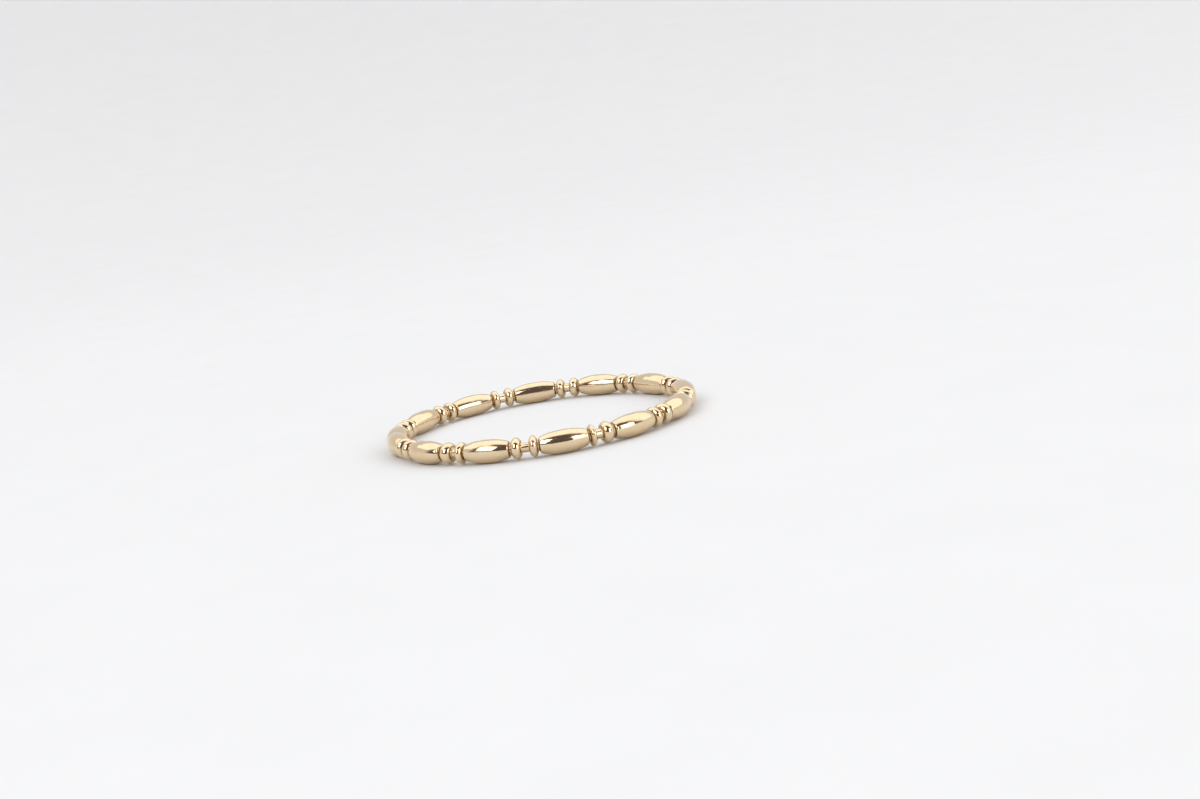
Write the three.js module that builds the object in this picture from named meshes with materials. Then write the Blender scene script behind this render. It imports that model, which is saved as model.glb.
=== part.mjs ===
// Stackable ring: one round wire, rolled into long oblong beads with a pair of small beads
// between each two, bent into a circle and soldered shut. Millimetres, +Z up. The ring lies
// flat: its axis is on Z, its underside at Z = 0, its box centred on the origin.
import * as THREE from 'three';
import { ParametricGeometry } from 'three/addons/geometries/ParametricGeometry.js';

// Finger size, measured across the hole between the crowns of the oblong beads
const fingerHole = 17.35;

// Oblong bead: a barrel with a short straight crown and a rounded edge at each end
const oblongLength = 2.93;
const oblongThickness = 1.42;
const oblongEndThickness = 0.98;
const oblongCrown = 0.3;
const oblongCorner = 0.12;

// Small bead: a rounded bead that stands on the thin wire
const smallLength = 0.62;
const smallThickness = 1.3;
const smallSpacing = 0.96;
const neckThickness = 0.6;

// Groove between a small bead and the end of an oblong one
const grooveLength = 0.1;
const grooveThickness = 0.8;

// Soldered joint: its angle on the circle and its thickness. The oblong bead next to it was
// sawn through and keeps this share of its length.
const jointAngle = 187;
const jointThickness = 0.94;
const keptShare = 0.72;

// The roller doesn't mark the wire evenly. A row is one repeat: its two small beads, how far
// apart they are and the oblong bead after them, as shares of the sizes above.
const repeats = [
  { first: 1.0, second: 1.0, spread: 1.0, oblong: 0.98 },
  { first: 1.2, second: 0.8, spread: 1.03, oblong: 0.96 },
  { first: 1.0, second: 0.85, spread: 1.06, oblong: 0.98 },
  { first: 0.65, second: 1.15, spread: 0.97, oblong: 0.99 },
  { first: 0.85, second: 1.0, spread: 0.97, oblong: 1.07 },
  { first: 1.0, second: 1.0, spread: 1.0, oblong: 1.09 },
  { first: 1.0, second: 0.95, spread: 1.0, oblong: 1.06 },
  { first: 0.95, second: 1.05, spread: 0.97, oblong: 0.99 },
  { first: 1.05, second: 0.95, spread: 1.0, oblong: 1.0 },
  { first: 1.0, second: 0.9, spread: 1.03, oblong: 1.0 },
  { first: 0.9, second: 1.05, spread: 1.0, oblong: 1.04 },
  { first: 1.0, second: 1.0, spread: 1.0, oblong: 0.98 },
];

// Sides of the round wire as it is meshed, and where its sections stand on a bead, as shares
// of the bead's half length or of the barrel's curved stretch
const sides = 16;
const smallSections = [-1, -0.93, -0.68, -0.25, 0.25, 0.68, 0.93, 1];
const barrelSections = [0.3, 0.65, 1];

const centreRadius = (fingerHole + oblongThickness) / 2;
const circumference = 2 * Math.PI * centreRadius;

// A section is a place along the wire and the wire's radius there.
function section(along, radius) {
  return { along, radius };
}

// Small bead: an ellipse's upper half on the neck's radius, from one end to the other.
function smallBead(start, length) {
  const foot = neckThickness / 2;
  const rise = (smallThickness - neckThickness) / 2;
  return smallSections.map((share) => {
    const height = rise * Math.sqrt(1 - share * share);
    return section(start + (length / 2) * (1 + share), foot + height);
  });
}

// Radius of an oblong bead at a distance from its middle: a straight crown, then a round arc
// that falls to the end's thickness.
function barrelRadius(fromMiddle, length) {
  const reach = (length - oblongCrown) / 2;
  const drop = (oblongThickness - oblongEndThickness) / 2;
  const arcRadius = (reach * reach + drop * drop) / (2 * drop);
  const pastCrown = Math.max(0, Math.abs(fromMiddle) - oblongCrown / 2);
  return oblongThickness / 2 - arcRadius + Math.sqrt(arcRadius * arcRadius - pastCrown * pastCrown);
}

// Rounded edge at a bead's end: a quarter of an ellipse that rises from the foot to the barrel.
// It goes along the wire from the end, or backwards with the direction -1.
function roundedEdge(end, direction, foot, edge) {
  const midway = section(
    end + direction * oblongCorner * (1 - Math.SQRT1_2),
    foot + (edge - foot) * Math.SQRT1_2,
  );
  return [section(end, foot), midway];
}

// Oblong bead: its ends rise from a foot over the rounded edge, and sections stand along both
// arcs of the barrel between them.
function oblongBead(start, length, footBefore, footAfter) {
  const half = length / 2;
  const reach = (length - oblongCrown) / 2;
  const arc = barrelSections.map((share) => half - reach * share);
  const near = [half - oblongCorner, ...arc];
  const places = [...near, ...near.map((place) => -place).reverse()];
  const barrel = places.map((place) => section(start + half - place, barrelRadius(place, length)));
  const edge = barrel[0].radius;
  return [
    ...roundedEdge(start, 1, footBefore, edge),
    ...barrel,
    ...roundedEdge(start + length, -1, footAfter, edge).reverse(),
  ];
}

// Oblong bead that was sawn through when the wire was cut to the finger size. It starts at the
// joint and keeps its far end.
function cutBead(length) {
  const wholeLength = length / keptShare;
  const sawnOff = wholeLength - length;
  const whole = oblongBead(-sawnOff, wholeLength, jointThickness / 2, grooveThickness / 2);
  const edgeRadius = barrelRadius(wholeLength / 2 - sawnOff - oblongCorner, wholeLength);
  const kept = whole.filter((place) => place.along > 2 * oblongCorner);
  const edge = roundedEdge(0, 1, jointThickness / 2, edgeRadius);
  return [...edge, section(oblongCorner, edgeRadius), ...kept];
}

// One repeat: two small beads on the neck, then an oblong bead with a groove at each end.
function repeatSections(start, row, footAfter) {
  const firstLength = smallLength * row.first;
  const secondLength = smallLength * row.second;
  const betweenCentres = smallSpacing * row.spread;
  const first = start + grooveLength;
  const second = first + firstLength / 2 + betweenCentres - secondLength / 2;
  const oblong = second + secondLength + grooveLength;
  return [
    ...smallBead(first, firstLength),
    ...smallBead(second, secondLength),
    ...oblongBead(oblong, oblongLength * row.oblong, grooveThickness / 2, footAfter),
  ];
}

// The wire holds as many whole repeats as leave at least half a bead of the circle over. What is
// left over is the cut bead.
function wireSections() {
  const runs = [];
  let patternLength = 0;
  for (let count = 0; ; count += 1) {
    const row = repeats[count % repeats.length];
    const run = repeatSections(0, row, grooveThickness / 2);
    const runLength = run[run.length - 1].along;
    if (patternLength + runLength + oblongLength / 2 > circumference) break;
    runs.push({ row, start: patternLength });
    patternLength += runLength;
  }
  const cutLength = circumference - patternLength;
  const sections = cutBead(cutLength);
  runs.forEach(({ row, start }, index) => {
    const atJoint = index === runs.length - 1;
    const footAfter = (atJoint ? jointThickness : grooveThickness) / 2;
    sections.push(...repeatSections(cutLength + start, row, footAfter));
  });
  sections.pop();
  return sections;
}

// The wire's surface: each section is a regular polygon round the circular centreline. Its
// flats lie on the round wire, and one of them faces straight down.
function bandGeometry(sections) {
  const cornerStretch = 1 / Math.cos(Math.PI / sides);
  const startAngle = THREE.MathUtils.degToRad(jointAngle);
  return new ParametricGeometry((alongShare, aroundShare, point) => {
    const place = sections[Math.round(alongShare * sections.length) % sections.length];
    const turn = startAngle + place.along / centreRadius;
    const around = 2 * Math.PI * (aroundShare + 0.5 / sides);
    const corner = place.radius * cornerStretch;
    const fromAxis = centreRadius + corner * Math.cos(around);
    point.set(fromAxis * Math.cos(turn), fromAxis * Math.sin(turn), corner * Math.sin(around));
  }, sections.length, sides);
}

// The whole band, moved so that its box stands centred on the origin.
function beadWireBand() {
  const geometry = bandGeometry(wireSections());
  geometry.computeBoundingBox();
  const middle = geometry.boundingBox.getCenter(new THREE.Vector3());
  geometry.translate(-middle.x, -middle.y, -geometry.boundingBox.min.z);
  const gold = new THREE.MeshStandardMaterial({ color: '#e6c48c', metalness: 1, roughness: 0.12 });
  const band = new THREE.Mesh(geometry, gold);
  band.name = 'bead_wire_band';
  return band;
}

const ring = new THREE.Group();
ring.add(beadWireBand());

export default ring;
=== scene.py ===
"""Stackable ring: one gold bead wire, bent into a circle and soldered shut, on a pale floor.

The wire is rolled into long oblong beads with a pair of small round beads between each two.
Sizes are in metres. The ring lies on its side, its axis on Z, in the frame of the solid part.
"""
import math

import bpy
import numpy as np
from bpy.props import FloatProperty, FloatVectorProperty, PointerProperty
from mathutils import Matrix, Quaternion, Vector


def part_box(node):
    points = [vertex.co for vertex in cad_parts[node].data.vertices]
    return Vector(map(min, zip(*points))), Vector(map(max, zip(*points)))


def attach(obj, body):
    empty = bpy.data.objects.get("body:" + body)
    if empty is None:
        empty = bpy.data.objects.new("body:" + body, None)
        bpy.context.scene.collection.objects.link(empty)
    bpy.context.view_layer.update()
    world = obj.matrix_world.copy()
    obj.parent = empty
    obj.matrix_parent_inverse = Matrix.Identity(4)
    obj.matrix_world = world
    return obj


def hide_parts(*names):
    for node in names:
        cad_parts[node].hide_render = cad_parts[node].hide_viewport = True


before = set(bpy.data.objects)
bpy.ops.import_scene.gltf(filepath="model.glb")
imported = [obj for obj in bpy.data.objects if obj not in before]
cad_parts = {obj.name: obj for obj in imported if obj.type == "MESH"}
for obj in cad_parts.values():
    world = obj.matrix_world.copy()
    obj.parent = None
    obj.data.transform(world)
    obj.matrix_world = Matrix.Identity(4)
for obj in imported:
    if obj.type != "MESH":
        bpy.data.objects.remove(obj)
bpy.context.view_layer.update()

bl_info = {
    "name": "Stackable Ring",
    "version": (1, 0, 0),
    "blender": (4, 5, 0),
    "location": "3D View > Sidebar > Ring",
    "description": "A soldered ring of gold bead wire, with its floor, lights and camera",
    "category": "Object",
}

MM = 0.001
BAND_NODE = "bead_wire_band"

# The roller doesn't mark the wire evenly. A row is one repeat: its two small beads, how far
# apart they are and the oblong bead after them, as shares of the usual sizes.
REPEATS = [
    {"first": 1.0, "second": 1.0, "spread": 1.0, "oblong": 0.98},
    {"first": 1.2, "second": 0.8, "spread": 1.03, "oblong": 0.96},
    {"first": 1.0, "second": 0.85, "spread": 1.06, "oblong": 0.98},
    {"first": 0.65, "second": 1.15, "spread": 0.97, "oblong": 0.99},
    {"first": 0.85, "second": 1.0, "spread": 0.97, "oblong": 1.07},
    {"first": 1.0, "second": 1.0, "spread": 1.0, "oblong": 1.09},
    {"first": 1.0, "second": 0.95, "spread": 1.0, "oblong": 1.06},
    {"first": 0.95, "second": 1.05, "spread": 0.97, "oblong": 0.99},
    {"first": 1.05, "second": 0.95, "spread": 1.0, "oblong": 1.0},
    {"first": 1.0, "second": 0.9, "spread": 1.03, "oblong": 1.0},
    {"first": 0.9, "second": 1.05, "spread": 1.0, "oblong": 1.04},
    {"first": 1.0, "second": 1.0, "spread": 1.0, "oblong": 0.98},
]

# Sides of the round wire, and sections on each of its forms and along the paper's side
SIDES = 60
SMALL_SECTIONS = 23
NECK_SECTIONS = 4
EDGE_SECTIONS = 8
BARREL_SECTIONS = 50
PAPER_SECTIONS = 97

# Noise values: its middle, and where a patch of wear starts and is full
NOISE_MIDDLE = 0.5
PATCH_START = 0.45
PATCH_FULL = 0.65

# The photograph is taken as 1200 x 799 pixels. The ring's middle in it, and the radius of the
# wire's centreline at that depth, are in those pixels.
PHOTO_WIDTH = 1200
PHOTO_HEIGHT = 799
RING_MIDDLE_X = 541.3
RING_MIDDLE_Y = 415.8
RING_RADIUS = 145.6

# The nearest thing that the camera sees, as a share of its distance from the ring
CLIP_SHARE = 0.01


def linear(hex_colour):
    """An sRGB hex colour as linear red, green, blue and alpha."""
    parts = [int(hex_colour[place:place + 2], 16) / 255 for place in (1, 3, 5)]
    light = [part / 12.92 if part <= 0.04045 else ((part + 0.055) / 1.055) ** 2.4 for part in parts]
    return light + [1.0]


def length(name, description, default):
    """A property for a length in metres."""
    return FloatProperty(name=name, description=description, default=default, unit="LENGTH", precision=5)


def angle(name, description, degrees):
    """A property for an angle, which Blender keeps in radians."""
    return FloatProperty(name=name, description=description, default=math.radians(degrees), subtype="ANGLE")


def colour(name, description, hex_colour):
    """A property for a colour, which Blender keeps as linear values."""
    return FloatVectorProperty(
        name=name, description=description, default=linear(hex_colour), size=4, min=0, max=1, subtype="COLOR"
    )


def share(name, description, default):
    """A property for a share between 0 and 1."""
    return FloatProperty(name=name, description=description, default=default, min=0, max=1, subtype="FACTOR")


class BandSizes(bpy.types.PropertyGroup):
    """Sizes of the bead wire. Its greatest thickness comes from the solid part."""

    finger_hole: length("Finger hole", "Across the hole between oblong beads' crowns", 17.35 * MM)
    oblong_length: length("Oblong length", "Length of an oblong bead", 2.93 * MM)
    oblong_end: length("Oblong end", "Thickness of an oblong bead at its ends", 0.98 * MM)
    oblong_crown: length("Oblong crown", "Straight stretch in an oblong bead's middle", 0.3 * MM)
    oblong_edge: length("Oblong edge", "Length of the rounded edge at an oblong bead's end", 0.12 * MM)
    small_length: length("Small length", "Length of a small bead", 0.62 * MM)
    small_thickness: length("Small thickness", "Thickness of a small bead", 1.3 * MM)
    small_spacing: length("Small spacing", "Between the middles of a pair of small beads", 0.96 * MM)
    neck_thickness: length("Neck thickness", "Wire's thickness between two small beads", 0.6 * MM)
    groove_length: length("Groove length", "Groove next to an oblong bead", 0.1 * MM)
    groove_thickness: length("Groove thickness", "Wire's thickness in that groove", 0.8 * MM)
    inner_corner: length("Inner corner", "Rounding at the foot of a small bead", 0.02 * MM)
    joint_thickness: length("Joint thickness", "Wire's thickness at the solder", 0.94 * MM)
    joint_angle: angle("Joint angle", "Where the ends are soldered", 187)
    kept_share: share("Kept share", "Share of the sawn bead that is left", 0.72)


class BandFinish(bpy.types.PropertyGroup):
    """Colours, polish and fine marks of the gold."""

    gold: colour("Gold", "Colour of the polished gold", "#E6D0AD")
    warm_gold: colour("Warm gold", "Colour of the cloudy, warmer patches", "#E5CCA6")
    # Painted shade: a darker colour on the corners beside the beads, where shade falls
    painted_corner_shade: colour("Residue", "Colour of the gold with polish left on it", "#AC9271")
    solder: colour("Solder", "Colour of the paler solder", "#E4D3B4")
    polish: share("Polish", "Roughness of the crowns", 0.07)
    # Roughness added on the corners that have the painted shade
    corner_shade_dulling: share("Residue dulling", "Roughness added by the polish left", 0.2)
    cloud_dulling: share("Cloud dulling", "Roughness added by handling", 0.05)
    solder_dulling: share("Solder dulling", "Roughness added on the solder", 0.14)
    solder_spread: length("Solder spread", "How far the solder ran from the joint", 0.22 * MM)
    # Where the painted shade lies: the corners' radius, and how far in and out of it the shade reaches
    corner_shade_radius: length("Residue radius", "Radius down in the corners beside a bead", 0.41 * MM)
    corner_shade_reach: length("Residue reach", "How far in and out of there the polish is left", 0.12 * MM)
    line_length: length("Line length", "Length of the lines left by the rollers", 4 * MM)
    line_width: length("Line width", "Width of the lines left by the rollers", 0.2 * MM)
    line_height: length("Line height", "Height of the lines left by the rollers", 0.009 * MM)
    scratch_length: length("Scratch length", "Length of the hairline scratches", 6 * MM)
    scratch_spacing: length("Scratch spacing", "Distance between the hairline scratches", 0.17 * MM)
    scratch_depth: length("Scratch depth", "Depth of the hairline scratches", 0.0015 * MM)
    scratch_width: share("Scratch width", "How near its middle value the noise makes one", 0.012)
    scratch_slant: FloatVectorProperty(
        name="Scratch slant", description="Turn away from the wire", default=(0.3, 0.5, 0.6), subtype="EULER"
    )
    scratch_patch: length("Scratch patch", "Size of the patches that have scratches", 0.9 * MM)
    cloud_size: length("Cloud size", "Size of the clouds left by handling", 0.55 * MM)
    grain_size: length("Grain size", "Size of the finest grain", 0.033 * MM)
    grain_height: length("Grain height", "Height of the finest grain", 0.0006 * MM)


class StageSettings(bpy.types.PropertyGroup):
    """Floor, lights and camera."""

    floor_colour: colour("Floor", "Colour of the paper", "#E8E9EA")
    floor_shade: colour("Floor shade", "Colour of the paper's faint mottling", "#E4E5E6")
    floor_roughness: share("Floor roughness", "Roughness of the matt paper", 0.9)
    floor_gloss: share("Floor gloss", "How much the matt paper mirrors", 0.1)
    mottling_size: length("Mottling size", "Size of the paper's mottling", 8 * MM)
    fibre_size: length("Fibre size", "Size of the paper's tufts of fibres", 0.33 * MM)
    fibre_height: length("Fibre height", "Height of the paper's tufts of fibres", 0.006 * MM)
    flat_radius: length("Flat radius", "Radius of the flat middle of the paper", 0.2)
    rim_radius: length("Rim radius", "Radius of the paper's rim", 0.7)
    front_rim: angle("Front rim", "Rim's height seen from the ring, on the camera's side", 6)
    back_rim: angle("Back rim", "Rim's height seen from the ring, behind it", 15)
    dim_colour: colour("Dim side", "Light of the camera's side of the room", "#645A5D")
    pale_colour: colour("Pale side", "Light from behind the ring", "#E4E4E4")
    side_blend: share("Side blend", "How far the pale side fades into the dim one", 0.35)
    panel_height: length("Panel height", "Height of the overhead panel", 0.9)
    panel_radiance: FloatProperty(name="Panel", description="Brightness of the overhead panel", default=0.65)
    panel_front: angle("Panel front", "Panel's front edge seen from the ring", 73)
    panel_back: angle("Panel back", "Panel's back edge seen from the ring", 40)
    panel_width: FloatProperty(name="Panel width", description="Width as a share of its height", default=4.4)
    softbox_radiance: FloatProperty(name="Softboxes", description="Brightness of the softboxes", default=3.1)
    softbox_width: length("Softbox width", "Width of a softbox", 0.52)
    softbox_height: length("Softbox height", "Height of a softbox", 0.56)
    softbox_distance: length("Softbox distance", "Distance of a softbox", 0.9)
    softbox_azimuth: angle("Softbox azimuth", "Angle from the camera's side", 45)
    left_elevation: angle("Left elevation", "Left softbox's angle above the floor", 32)
    right_elevation: angle("Right elevation", "Right softbox's angle above the floor", 27)
    lens: FloatProperty(name="Lens", description="Focal length", default=50.0, unit="CAMERA")
    elevation: angle("Elevation", "Camera above the ring's plane", 10.4)
    azimuth: angle("Azimuth", "Camera's turn round the ring", 0.4)
    roll: angle("Roll", "Turn that lifts the ring's right side", 9.25)


def barrel_radius(from_middle, bead_length, thickness, sizes):
    """Radius of an oblong bead: a straight crown, then a round arc that falls to the end's
    thickness. The arc's radius is (reach squared + drop squared) over twice the drop."""
    reach = (bead_length - sizes.oblong_crown) / 2
    drop = (thickness - sizes.oblong_end) / 2
    arc = (reach**2 + drop**2) / (2 * drop)
    past_crown = np.maximum(0, np.abs(from_middle) - sizes.oblong_crown / 2)
    return thickness / 2 - arc + np.sqrt(arc**2 - past_crown**2)


def small_bead(start, bead_length, sizes):
    """A small bead's profile: an ellipse's upper half that stands on the neck."""
    place = np.sin(np.linspace(-math.pi / 2, math.pi / 2, SMALL_SECTIONS))
    rise = (sizes.small_thickness - sizes.neck_thickness) / 2
    along = start + bead_length / 2 * (1 + place)
    radius = sizes.neck_thickness / 2 + rise * np.sqrt(np.maximum(0, 1 - place**2))
    return along, radius


def neck(start, end, sizes):
    """The neck's profile between two small beads, up to the inner corner at each."""
    along = np.linspace(start + sizes.inner_corner, end - sizes.inner_corner, NECK_SECTIONS)
    return along, np.full(NECK_SECTIONS, sizes.neck_thickness / 2)


def rounded_edge(foot, barrel, sizes):
    """A quarter of an ellipse that rises from the foot to the barrel, without its last point:
    places from the bead's end, and radii."""
    turn = np.linspace(0, math.pi / 2, EDGE_SECTIONS)[:-1]
    return sizes.oblong_edge * (1 - np.cos(turn)), foot + (barrel - foot) * np.sin(turn)


def oblong_bead(start, bead_length, thickness, foot_before, foot_after, sizes):
    """An oblong bead's profile: a rounded edge, the barrel, and a rounded edge back down."""
    half = bead_length / 2
    place = np.linspace(sizes.oblong_edge - half, half - sizes.oblong_edge, BARREL_SECTIONS)
    barrel = barrel_radius(place, bead_length, thickness, sizes)
    before_along, before_radius = rounded_edge(foot_before, barrel[0], sizes)
    after_along, after_radius = rounded_edge(foot_after, barrel[-1], sizes)
    along = np.concatenate([before_along, half + place, bead_length - after_along[::-1]])
    radius = np.concatenate([before_radius, barrel, after_radius[::-1]])
    return start + along, radius


def cut_bead(bead_length, thickness, sizes):
    """The bead that was sawn through at the joint: the far part of a whole bead."""
    whole = bead_length / sizes.kept_share
    sawn_off = whole - bead_length
    joint_foot = sizes.joint_thickness / 2
    along, radius = oblong_bead(-sawn_off, whole, thickness, joint_foot, sizes.groove_thickness / 2, sizes)
    barrel = barrel_radius(whole / 2 - sawn_off - sizes.oblong_edge, whole, thickness, sizes)
    edge_along, edge_radius = rounded_edge(joint_foot, barrel, sizes)
    kept = along > sizes.oblong_edge
    return np.concatenate([edge_along, along[kept]]), np.concatenate([edge_radius, radius[kept]])


def repeat(start, row, thickness, foot_after, sizes):
    """One repeat's profile: two small beads on the neck, then an oblong bead."""
    first_length = sizes.small_length * row["first"]
    second_length = sizes.small_length * row["second"]
    first = start + sizes.groove_length
    second = first + first_length / 2 + sizes.small_spacing * row["spread"] - second_length / 2
    oblong = second + second_length + sizes.groove_length
    oblong_length = sizes.oblong_length * row["oblong"]
    pieces = [
        small_bead(first, first_length, sizes),
        neck(first + first_length, second, sizes),
        small_bead(second, second_length, sizes),
        oblong_bead(oblong, oblong_length, thickness, sizes.groove_thickness / 2, foot_after, sizes),
    ]
    return [np.concatenate(column) for column in zip(*pieces)]


def wire_profile(circumference, thickness, sizes):
    """The whole wire's profile, from the joint round to the joint: places along it and radii.
    The last place is the joint again, so it is the circumference."""
    groove = sizes.groove_thickness / 2
    lengths = [repeat(0, row, thickness, groove, sizes)[0][-1] for row in REPEATS]
    start = circumference - sum(lengths)
    pieces = [cut_bead(start, thickness, sizes)]
    for row, run_length in zip(REPEATS, lengths):
        foot_after = sizes.joint_thickness / 2 if row is REPEATS[-1] else groove
        pieces.append(repeat(start, row, thickness, foot_after, sizes))
        start += run_length
    return [np.concatenate(column) for column in zip(*pieces)]


def bent_wire(along, radius, centre_radius, start_angle):
    """Points of a round wire bent into a circle, a section at a time. A point is at its section's
    radius round the centreline, and the place along the wire is an arc of the centreline."""
    turn = start_angle + along[:, None] / centre_radius
    around = 2 * math.pi * np.arange(SIDES) / SIDES
    from_axis = centre_radius + radius[:, None] * np.cos(around)
    height = radius[:, None] * np.sin(around)
    return np.stack([from_axis * np.cos(turn), from_axis * np.sin(turn), height], axis=-1).reshape(-1, 3)


def fit_to_box(points, low, high):
    """Centres points on a box and scales them alike in X and Y: the smaller of the box's two
    half sides over the points' own, so that they stay inside."""
    low, high = np.array(low), np.array(high)
    reach = np.ptp(points, axis=0) / 2
    centred = points - points.min(axis=0) - reach
    centred[:, :2] *= min(((high - low) / 2 / reach)[:2])
    return centred + (low + high) / 2


def grid_corners(rows, columns):
    """The four corners' row and column of each face of a grid, with the normals outwards."""
    row, column = np.meshgrid(np.arange(rows), np.arange(columns), indexing="ij")
    corner_rows = np.stack([row, row + 1, row + 1, row], axis=-1)
    corner_columns = np.stack([column, column, column + 1, column + 1], axis=-1)
    return corner_rows.reshape(-1, 4), corner_columns.reshape(-1, 4)


def add_mesh(name, points, faces):
    """A smooth mesh object at the origin from arrays of points and four-cornered faces."""
    mesh = bpy.data.meshes.new(name)
    mesh.vertices.add(len(points))
    mesh.vertices.foreach_set("co", points.ravel())
    mesh.loops.add(faces.size)
    mesh.loops.foreach_set("vertex_index", faces.ravel())
    mesh.polygons.add(len(faces))
    mesh.polygons.foreach_set("loop_start", np.arange(0, faces.size, 4))
    mesh.polygons.foreach_set("use_smooth", np.ones(len(faces), dtype=bool))
    mesh.update(calc_edges=True)
    mesh.validate()
    piece = bpy.data.objects.new(name, mesh)
    bpy.context.scene.collection.objects.link(piece)
    return piece


def add_node(tree, kind, output, settings):
    """Adds a node and returns one of its outputs. A setting is a property of the node or one of
    its inputs, which takes a value or another node's output. Inputs and outputs go by their
    identifiers, because several of a node's can share a name."""
    node = tree.nodes.new(kind)
    for name, value in settings.items():
        inputs = {socket.identifier: socket for socket in node.inputs}
        if name not in inputs:
            setattr(node, name, value)
        elif isinstance(value, bpy.types.NodeSocket):
            tree.links.new(value, inputs[name])
        else:
            inputs[name].default_value = value
    return next(socket for socket in node.outputs if socket.identifier == output)


def new_material(name):
    """A material with nodes: the material, its node tree and its shader."""
    material = bpy.data.materials.new(name)
    material.use_nodes = True
    return material, material.node_tree, material.node_tree.nodes["Principled BSDF"]


def painted_shade_in_corners(tree, place, finish):
    """Where shade is painted on the gold: 1 where the wire's radius is that of the corners beside the
    beads, down to 0 further in and out by a smooth step."""
    section = add_node(tree, "ShaderNodeMapping", "Vector", {"Vector": place, "Scale": (0, 1, 1)})
    radius = add_node(tree, "ShaderNodeVectorMath", "Value", {
        "operation": "LENGTH",
        "Vector": section,
    })
    over_corner = add_node(tree, "ShaderNodeMath", "Value", {
        "operation": "SUBTRACT",
        "Value": radius,
        "Value_001": finish.corner_shade_radius,
    })
    from_corner = add_node(tree, "ShaderNodeMath", "Value", {
        "operation": "ABSOLUTE",
        "Value": over_corner,
    })
    return add_node(tree, "ShaderNodeMapRange", "Result", {
        "interpolation_type": "SMOOTHSTEP",
        "Value": from_corner,
        "From Min": finish.corner_shade_reach,
        "From Max": 0,
    })


def roller_lines(tree, place, finish):
    """Noise drawn out along the wire. Its lines are a few times as wide as real ones, which are
    too fine to show."""
    stretched = add_node(tree, "ShaderNodeMapping", "Vector", {
        "Vector": place,
        "Scale": (1 / finish.line_length, 1 / finish.line_width, 1 / finish.line_width),
    })
    return add_node(tree, "ShaderNodeTexNoise", "Fac", {
        "Vector": stretched,
        "Scale": 1,
        "Detail": 1.5,
    })


def worn_patches(tree, place, size, detail):
    """Patches of a size: noise with its low values cut to 0 and its high ones to 1."""
    noise = add_node(tree, "ShaderNodeTexNoise", "Fac", {
        "Vector": place,
        "Scale": 1 / size,
        "Detail": detail,
    })
    return add_node(tree, "ShaderNodeMapRange", "Result", {
        "Value": noise,
        "From Min": PATCH_START,
        "From Max": PATCH_FULL,
    })


def hairline_scratches(tree, place, finish):
    """Thin lines where a slanted noise, drawn out like the roller lines, passes its middle
    value. Only some patches have them."""
    slanted = add_node(tree, "ShaderNodeMapping", "Vector", {
        "Vector": place,
        "Rotation": finish.scratch_slant,
        "Scale": (1 / finish.scratch_length, 1 / finish.scratch_spacing, 1 / finish.scratch_spacing),
    })
    across = add_node(tree, "ShaderNodeTexNoise", "Fac", {
        "Vector": slanted,
        "Scale": 1,
        "Detail": 0,
    })
    past_middle = add_node(tree, "ShaderNodeMath", "Value", {
        "operation": "SUBTRACT",
        "Value": across,
        "Value_001": NOISE_MIDDLE,
    })
    from_middle = add_node(tree, "ShaderNodeMath", "Value", {
        "operation": "ABSOLUTE",
        "Value": past_middle,
    })
    hairline = add_node(tree, "ShaderNodeMapRange", "Result", {
        "Value": from_middle,
        "From Min": finish.scratch_width,
        "From Max": 0,
    })
    return add_node(tree, "ShaderNodeMath", "Value", {
        "operation": "MULTIPLY",
        "Value": hairline,
        "Value_001": worn_patches(tree, place, finish.scratch_patch, detail=1),
    })


def gold_material(finish):
    """Gold-filled wire, rolled and then tumbled bright. The eye gets mirror-bright crowns with
    fine lines lengthwise from the rollers, hairline scratches and faint clouds from wear, a paler,
    more matt joint, and thin dark lines of painted shade in the corners beside the beads."""
    material, tree, shader = new_material("gold_filled_wire_rolled_and_tumbled")

    # Place on the wire: how far along it, then the place in its round section
    place = add_node(tree, "ShaderNodeAttribute", "Vector", {"attribute_name": "wire_place"})
    solder = add_node(tree, "ShaderNodeAttribute", "Fac", {"attribute_name": "solder_share"})
    grain = add_node(tree, "ShaderNodeTexNoise", "Fac", {
        "Vector": place,
        "Scale": 1 / finish.grain_size,
        "Detail": 2,
    })

    # Each of the clouds from wear, the painted shade in the corners and the solder has its own colour, and
    # adds its own roughness to the polish
    clouds = worn_patches(tree, place, finish.cloud_size, detail=3)
    wear_and_painted_shade = [
        (clouds, finish.warm_gold, finish.cloud_dulling),
        # Painted shade: the corners beside the beads made darker and rougher
        (painted_shade_in_corners(tree, place, finish), finish.painted_corner_shade, finish.corner_shade_dulling),
        (solder, finish.solder, finish.solder_dulling),
    ]
    tint = finish.gold
    roughness = finish.polish
    for share_worn_and_shaded, wear_and_shade_colour, dulling in wear_and_painted_shade:
        tint = add_node(tree, "ShaderNodeMix", "Result_Color", {
            "data_type": "RGBA",
            "Factor_Float": share_worn_and_shaded,
            "A_Color": tint,
            "B_Color": wear_and_shade_colour,
        })
        roughness = add_node(tree, "ShaderNodeMath", "Value", {
            "operation": "MULTIPLY_ADD",
            "Value": share_worn_and_shaded,
            "Value_001": dulling,
            "Value_002": roughness,
        })

    # The marks' heights add up to the relief, in metres
    marks = [
        (roller_lines(tree, place, finish), finish.line_height),
        (grain, finish.grain_height),
        (hairline_scratches(tree, place, finish), -finish.scratch_depth),
    ]
    relief = 0
    for mark, height in marks:
        relief = add_node(tree, "ShaderNodeMath", "Value", {
            "operation": "MULTIPLY_ADD",
            "Value": mark,
            "Value_001": height,
            "Value_002": relief,
        })
    normal = add_node(tree, "ShaderNodeBump", "Normal", {
        "Height": relief,
        "Strength": 1,
        "Distance": 1,
    })

    tree.links.new(tint, shader.inputs["Base Color"])
    tree.links.new(roughness, shader.inputs["Roughness"])
    tree.links.new(normal, shader.inputs["Normal"])
    shader.inputs["Metallic"].default_value = 1
    return material


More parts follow.
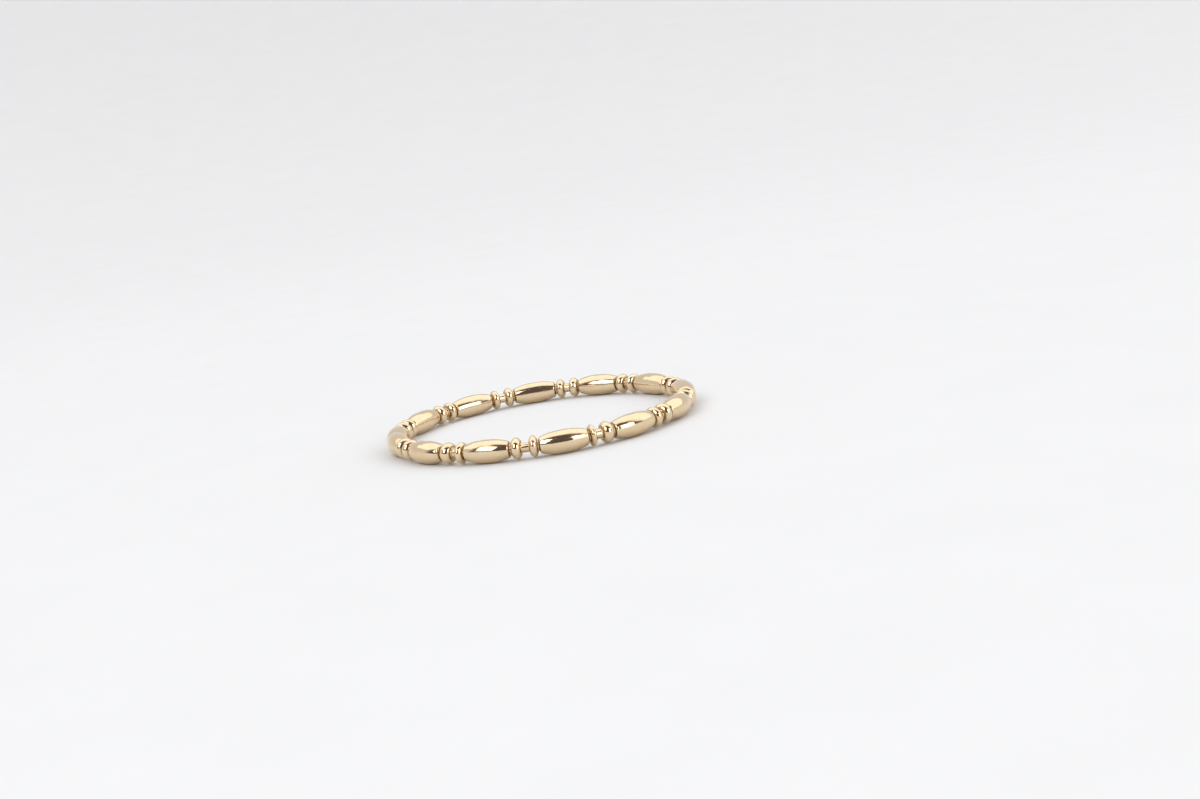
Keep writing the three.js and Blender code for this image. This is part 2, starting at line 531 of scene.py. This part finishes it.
def paper_material(settings):
    """Matt cotton paper. The eye gets a soft, even white with a faint fibrous tooth."""
    material, tree, shader = new_material("matt_cotton_paper")
    place = add_node(tree, "ShaderNodeTexCoord", "Object", {})
    mottling = add_node(tree, "ShaderNodeTexNoise", "Fac", {
        "Vector": place,
        "Scale": 1 / settings.mottling_size,
        "Detail": 2,
    })
    tint = add_node(tree, "ShaderNodeMix", "Result_Color", {
        "data_type": "RGBA",
        "Factor_Float": mottling,
        "A_Color": settings.floor_shade,
        "B_Color": settings.floor_colour,
    })
    fibres = add_node(tree, "ShaderNodeTexNoise", "Fac", {
        "Vector": place,
        "Scale": 1 / settings.fibre_size,
        "Detail": 4,
    })
    normal = add_node(tree, "ShaderNodeBump", "Normal", {
        "Height": fibres,
        "Strength": 1,
        "Distance": settings.fibre_height,
    })
    tree.links.new(tint, shader.inputs["Base Color"])
    tree.links.new(normal, shader.inputs["Normal"])
    shader.inputs["Roughness"].default_value = settings.floor_roughness
    shader.inputs["Specular IOR Level"].default_value = settings.floor_gloss
    return material


def add_attribute(mesh, name, kind, domain, field, values):
    """Keeps an array of values on the mesh for its material to read."""
    attribute = mesh.attributes.new(name, kind, domain)
    attribute.data.foreach_set(field, values.ravel())


class STACKABLE_RING_OT_bead_wire_band(bpy.types.Operator):
    """Make the soldered band of bead wire"""

    bl_idname = "stackable_ring.bead_wire_band"
    bl_label = "Bead wire band"

    def execute(self, context):
        sizes = context.scene.ring_band
        finish = context.scene.ring_finish
        low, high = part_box(BAND_NODE)
        thickness = high[2] - low[2]
        centre_radius = (sizes.finger_hole + thickness) / 2
        circumference = 2 * math.pi * centre_radius
        along, radius = wire_profile(circumference, thickness, sizes)

        # The solid's facets cut a hair off the round form, so the band is drawn in to its box
        points = bent_wire(along[:-1], radius[:-1], centre_radius, sizes.joint_angle)
        points = fit_to_box(points, low, high)

        # The grid closes on itself both ways
        rows = len(along) - 1
        corner_rows, corner_columns = grid_corners(rows, SIDES)
        band = add_mesh("gold_bead_wire", points, corner_rows % rows * SIDES + corner_columns % SIDES)

        # What the gold's pattern follows: the place on the wire, which starts and ends at the
        # joint, and how much solder there is, which falls off as a bell curve
        corner_around = 2 * math.pi * corner_columns / SIDES
        corner_radius = radius[corner_rows]
        across = [corner_radius * np.cos(corner_around), corner_radius * np.sin(corner_around)]
        wire_place = np.stack([along[corner_rows], *across], axis=-1)
        from_joint = np.minimum(along[:-1], circumference - along[:-1])
        solder = np.exp(-((from_joint / finish.solder_spread) ** 2))
        add_attribute(band.data, "wire_place", "FLOAT_VECTOR", "CORNER", "vector", wire_place)
        add_attribute(band.data, "solder_share", "FLOAT", "POINT", "value", np.repeat(solder, SIDES))
        band.data.materials.append(gold_material(finish))
        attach(band, "root")
        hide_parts(BAND_NODE)
        return {"FINISHED"}


def add_paper(settings):
    """The floor: a square sheet, flat under the ring, that rises all round as a parabola of the
    distance past its flat part, so that a camera as high as the photograph's sees no edge of it.
    The rim's height grows evenly with y / distance, from the camera's side to behind the ring."""
    side = np.linspace(-settings.rim_radius, settings.rim_radius, PAPER_SECTIONS)
    x, y = np.meshgrid(side, side, indexing="ij")
    distance = np.clip(np.hypot(x, y), settings.flat_radius, settings.rim_radius)
    share_back = (1 + y / distance) / 2
    front, back = math.tan(settings.front_rim), math.tan(settings.back_rim)
    rim_height = settings.rim_radius * (front + (back - front) * share_back)
    share_risen = (distance - settings.flat_radius) / (settings.rim_radius - settings.flat_radius)
    height = rim_height * share_risen**2
    corner_rows, corner_columns = grid_corners(PAPER_SECTIONS - 1, PAPER_SECTIONS - 1)
    points = np.stack([x, y, height], axis=-1).reshape(-1, 3)
    paper = add_mesh("paper_sweep", points, corner_rows * PAPER_SECTIONS + corner_columns)
    paper.data.materials.append(paper_material(settings))


def add_panel(name, middle, turn, width, height, radiance):
    """A soft rectangular light with its middle at a place, turned from facing straight down.
    Its power is radiance x area x pi, which gives its face that brightness."""
    light = bpy.data.lights.new(name, "AREA")
    light.shape = "RECTANGLE"
    light.size = width
    light.size_y = height
    light.energy = radiance * width * height * math.pi
    lamp = bpy.data.objects.new(name, light)
    lamp.location = middle
    lamp.rotation_mode = "QUATERNION"
    lamp.rotation_quaternion = turn
    lamp.visible_camera = False
    bpy.context.scene.collection.objects.link(lamp)


def add_lights(settings, room_turn):
    """A wide panel overhead, which reaches far back, and a softbox on each side of the camera. The
    panel's edges are its height / tan(angle) away. A softbox stands along its azimuth and rise."""
    height = settings.panel_height
    reach_front = height / math.tan(settings.panel_front)
    reach_back = height / math.tan(settings.panel_back)
    panel_middle = room_turn @ Vector((0, (reach_back - reach_front) / 2, height))
    add_panel("overhead_panel", panel_middle, room_turn, settings.panel_width * height,
              reach_front + reach_back, settings.panel_radiance)
    softboxes = [
        ("left_softbox", -1, settings.left_elevation),
        ("right_softbox", 1, settings.right_elevation),
    ]
    for name, side, rise in softboxes:
        turn = side * settings.softbox_azimuth
        away = Vector((math.sin(turn) * math.cos(rise), -math.cos(turn) * math.cos(rise), math.sin(rise)))
        facing = room_turn @ away.to_track_quat("Z", "Y")
        add_panel(name, room_turn @ away * settings.softbox_distance, facing, settings.softbox_width,
                  settings.softbox_height, settings.softbox_radiance)


def room_world(settings):
    """Light from the rest of the room: dim on the camera's side, pale behind the ring, with a
    smooth step of the direction's Y between them."""
    world = bpy.data.worlds.new("room")
    world.use_nodes = True
    tree = world.node_tree
    direction = add_node(tree, "ShaderNodeTexCoord", "Generated", {})
    backwards = add_node(tree, "ShaderNodeSeparateXYZ", "Y", {"Vector": direction})
    share_pale = add_node(tree, "ShaderNodeMapRange", "Result", {
        "interpolation_type": "SMOOTHSTEP",
        "Value": backwards,
        "From Min": -settings.side_blend,
        "From Max": 0,
    })
    light = add_node(tree, "ShaderNodeMix", "Result_Color", {
        "data_type": "RGBA",
        "Factor_Float": share_pale,
        "A_Color": settings.dim_colour,
        "B_Color": settings.pale_colour,
    })
    tree.links.new(light, tree.nodes["Background"].inputs["Color"])
    return world


def add_camera(settings, sizes, back, roll_turn):
    """The photograph's camera: from behind the ring's middle along the given direction, at the
    distance that gives the centreline its radius in the picture. Only its shift frames it."""
    low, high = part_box(BAND_NODE)
    thickness = high[2] - low[2]
    camera = bpy.data.cameras.new("photo_camera")
    camera.lens = settings.lens
    focal_pixels = camera.lens / camera.sensor_width * PHOTO_WIDTH
    distance = focal_pixels * (sizes.finger_hole + thickness) / 2 / RING_RADIUS
    camera.shift_x = (PHOTO_WIDTH / 2 - RING_MIDDLE_X) / PHOTO_WIDTH
    camera.shift_y = (RING_MIDDLE_Y - PHOTO_HEIGHT / 2) / PHOTO_WIDTH
    camera.clip_start = CLIP_SHARE * distance
    viewer = bpy.data.objects.new("photo_camera", camera)
    viewer.rotation_mode = "QUATERNION"
    viewer.location = Vector((0, 0, thickness / 2)) + back * distance
    viewer.rotation_quaternion = (-back).to_track_quat("-Z", "Y") @ roll_turn
    bpy.context.scene.collection.objects.link(viewer)
    return viewer


class STACKABLE_RING_OT_stage(bpy.types.Operator):
    """Make the pale floor, the soft lights and the camera"""

    bl_idname = "stackable_ring.stage"
    bl_label = "Floor, lights and camera"

    def execute(self, context):
        scene = context.scene
        settings = scene.ring_stage
        add_paper(settings)

        # The lights stand upright in the picture, so they turn with the camera's roll
        around = Quaternion((0, 0, 1), settings.azimuth)
        back = around @ Vector((0, -math.cos(settings.elevation), math.sin(settings.elevation)))
        add_lights(settings, Quaternion(back, -settings.roll) @ around)
        scene.world = room_world(settings)
        scene.camera = add_camera(settings, scene.ring_band, back, Quaternion((0, 0, 1), -settings.roll))
        scene.view_settings.view_transform = "Standard"
        return {"FINISHED"}


class VIEW3D_PT_stackable_ring(bpy.types.Panel):
    """Sizes, finish and operators of the ring"""

    bl_label = "Stackable Ring"
    bl_idname = "VIEW3D_PT_stackable_ring"
    bl_space_type = "VIEW_3D"
    bl_region_type = "UI"
    bl_category = "Ring"

    def draw(self, context):
        scene = context.scene
        for group in (scene.ring_band, scene.ring_finish, scene.ring_stage):
            box = self.layout.box()
            for name in group.__annotations__:
                box.prop(group, name)
        for operator in OPERATORS:
            self.layout.operator(operator.bl_idname)


OPERATORS = (STACKABLE_RING_OT_bead_wire_band, STACKABLE_RING_OT_stage)
GROUPS = {"ring_band": BandSizes, "ring_finish": BandFinish, "ring_stage": StageSettings}
CLASSES = (*GROUPS.values(), *OPERATORS, VIEW3D_PT_stackable_ring)


def register():
    """Adds the classes, and the three groups of settings to the scene."""
    for cls in CLASSES:
        bpy.utils.register_class(cls)
    for name, group in GROUPS.items():
        setattr(bpy.types.Scene, name, PointerProperty(type=group))


def unregister():
    """Takes them away again."""
    for name in GROUPS:
        delattr(bpy.types.Scene, name)
    for cls in reversed(CLASSES):
        bpy.utils.unregister_class(cls)


def main():
    """Registers the classes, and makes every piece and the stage."""
    register()
    bpy.ops.stackable_ring.bead_wire_band()
    bpy.ops.stackable_ring.stage()


if __name__ == "__main__":
    main()
